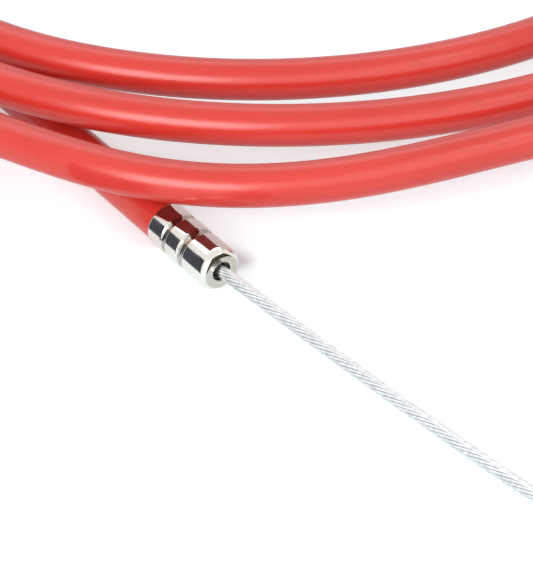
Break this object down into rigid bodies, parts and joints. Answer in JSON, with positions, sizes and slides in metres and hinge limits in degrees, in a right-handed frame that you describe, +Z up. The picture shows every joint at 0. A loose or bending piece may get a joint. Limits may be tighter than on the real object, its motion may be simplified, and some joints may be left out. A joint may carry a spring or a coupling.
{
  "type": "brake cable",
  "caption": "Coiled sheathed brake cable for a small scooter: red compression housing with crimped end ferrules and a stranded inner wire with a barrel head.",
  "frame": {"origin": "on the surface that the cable lies on, under the middle of its box", "axes": "+Z up from the surface, +Y the long way, from the bare wire's end towards the coil, +X towards the lever end of the wire"},
  "size_m": [0.1868, 0.2772, 0.0104],
  "materials": {
    "jacket": "satin red PVC",
    "armour": "close-wound flat steel wire",
    "liner": "smooth natural plastic",
    "wire": "bright stranded steel",
    "ferrule": "bright nickel plate",
    "barrel": "dull cast zinc",
    "cap": "crimped, bright"
  },
  "bodies": {
    "root": {"outer_jacket": "jacket", "spiral_armour": "armour", "liner": "liner", "inner_wire": "wire", "caliper_ferrule": "ferrule", "lever_ferrule": "ferrule", "wire_barrel": "barrel", "wire_end_cap": "cap"}
  },
  "joints": []
}
